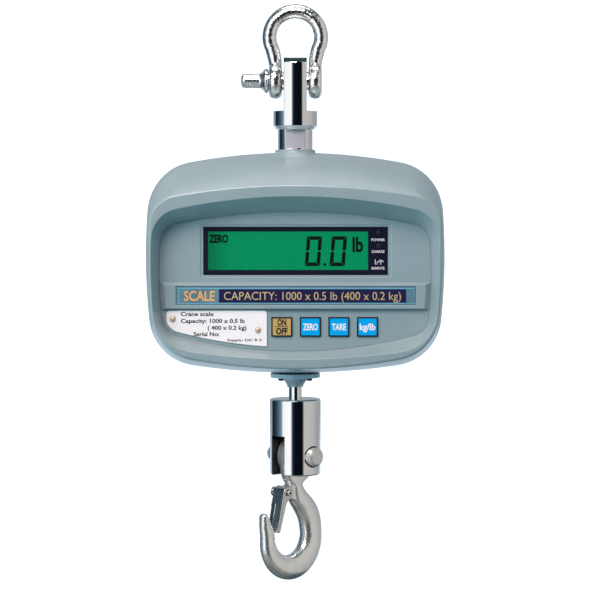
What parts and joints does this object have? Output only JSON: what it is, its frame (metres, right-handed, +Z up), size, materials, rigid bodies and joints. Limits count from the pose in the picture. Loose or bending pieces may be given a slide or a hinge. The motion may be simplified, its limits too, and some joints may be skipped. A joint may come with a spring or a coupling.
{
  "type": "crane scale",
  "caption": "Hanging crane scale: shackle, load cell in a two-part casing with a lit display and keys, and a swivel clevis with a latched hook.",
  "frame": {"origin": "inner crown of the shackle bow, the point that hangs on a crane hook", "axes": "+Z up along the load line, -Y the way the display faces, +X to the right of someone reading the display"},
  "size_m": [0.2592, 0.1202, 0.5005],
  "materials": {
    "casing": "fine semi-gloss grey-green paint",
    "panel": "matt grey paint",
    "window": "clear plastic with a dark printed border",
    "lcd": "green backlit display",
    "white": "smooth white",
    "strip": "printed brushed metal",
    "tan_key": "matt printed",
    "blue_key": "matt printed",
    "circuit_board": "solder mask",
    "black_plastic": "moulded",
    "lamp": "dark lens",
    "rubber": "matt",
    "brass": "bright domed",
    "bright_plate": "bright nickel plate over turned steel",
    "forging": "satin nickel plate over forged steel",
    "steel": "zinc plated",
    "alloy": "machined",
    "battery_wrap": "shrink wrap"
  },
  "bodies": {
    "shackle": {"shackle_bow": "forging"},
    "housing": {"backlight": "white", "battery": "battery_wrap", "battery_door": "casing", "battery_tray": "black_plastic", "bottom_flange": "casing", "bracket_screw_left": "steel", "bracket_screw_right": "steel", "charge_lamp": "lamp", "charging_jack": "black_plastic", "cone_bush": "alloy", "cover_screw_1": "steel", "cover_screw_2": "steel", "cover_screw_3": "steel", "cover_screw_4": "steel", "display_window": "window", "door_screw_left": "steel", "door_screw_right": "steel", "flange_screw_1": "black_plastic", "flange_screw_2": "black_plastic", "front_housing": "casing", "front_panel": "panel", "gasket_left": "rubber", "gasket_right": "rubber", "gauge_cover": "steel", "label_strip": "strip", "lcd_glass": "lcd", "lcd_holder": "black_plastic", "load_cell": "alloy", "load_cell_lead": "rubber", "lower_shaft": "bright_plate", "main_board": "circuit_board", "mounting_bracket": "steel", "plate_rivet_left": "brass", "plate_rivet_right": "brass", "power_lamp": "lamp", "rating_plate": "white", "rear_cover": "casing", "remote_receiver": "black_plastic", "shaft_lock_nut": "steel", "switch_power": "black_plastic", "switch_tare": "black_plastic", "switch_unit": "black_plastic", "switch_zero": "black_plastic", "swivel_nut": "steel", "upper_eye": "bright_plate"},
    "shackle_pin": {"shackle_pin": "forging"},
    "swivel": {"swivel_clevis": "bright_plate", "thrust_bearing": "steel", "clevis_pin": "bright_plate", "retaining_ring": "steel"},
    "hook": {"hook": "forging", "latch_rivet": "steel", "latch_spring": "steel"},
    "latch": {"latch": "steel"},
    "key_power": {"key_power": "tan_key"},
    "key_zero": {"key_zero": "blue_key"},
    "key_tare": {"key_tare": "blue_key"},
    "key_unit": {"key_unit": "blue_key"}
  },
  "joints": [
    {"name": "shackle_swing", "type": "hinge", "parent": "shackle", "child": "housing", "pos_m": [0, 0, -0.054], "axis": [1, 0, 0], "range_deg": [-120, 120]},
    {"name": "shackle_pin_draw", "type": "slide", "parent": "shackle", "child": "shackle_pin", "axis": [-1, 0, 0], "range_m": [0, 0.05]},
    {"name": "hook_swivel", "type": "hinge", "parent": "housing", "child": "swivel", "pos_m": [0, 0, -0.38], "axis": [0, 0, 1], "continuous": true},
    {"name": "hook_pitch", "type": "hinge", "parent": "swivel", "child": "hook", "pos_m": [0, 0, -0.3795], "axis": [0.7071, -0.7071, 0], "range_deg": [-90, 90]},
    {"name": "latch_open", "type": "hinge", "parent": "hook", "child": "latch", "pos_m": [-0.01025, -0.01025, -0.411], "axis": [0.7071, -0.7071, 0], "range_deg": [0, 46], "stiffness_Nm_per_rad": 0.05, "springref_deg": -28.65},
    {"name": "key_power_press", "type": "slide", "parent": "housing", "child": "key_power", "axis": [0, 1, 0], "range_m": [0, 0.0012], "stiffness_N_per_m": 800},
    {"name": "key_zero_press", "type": "slide", "parent": "housing", "child": "key_zero", "axis": [0, 1, 0], "range_m": [0, 0.0012], "stiffness_N_per_m": 800},
    {"name": "key_tare_press", "type": "slide", "parent": "housing", "child": "key_tare", "axis": [0, 1, 0], "range_m": [0, 0.0012], "stiffness_N_per_m": 800},
    {"name": "key_unit_press", "type": "slide", "parent": "housing", "child": "key_unit", "axis": [0, 1, 0], "range_m": [0, 0.0012], "stiffness_N_per_m": 800}
  ]
}
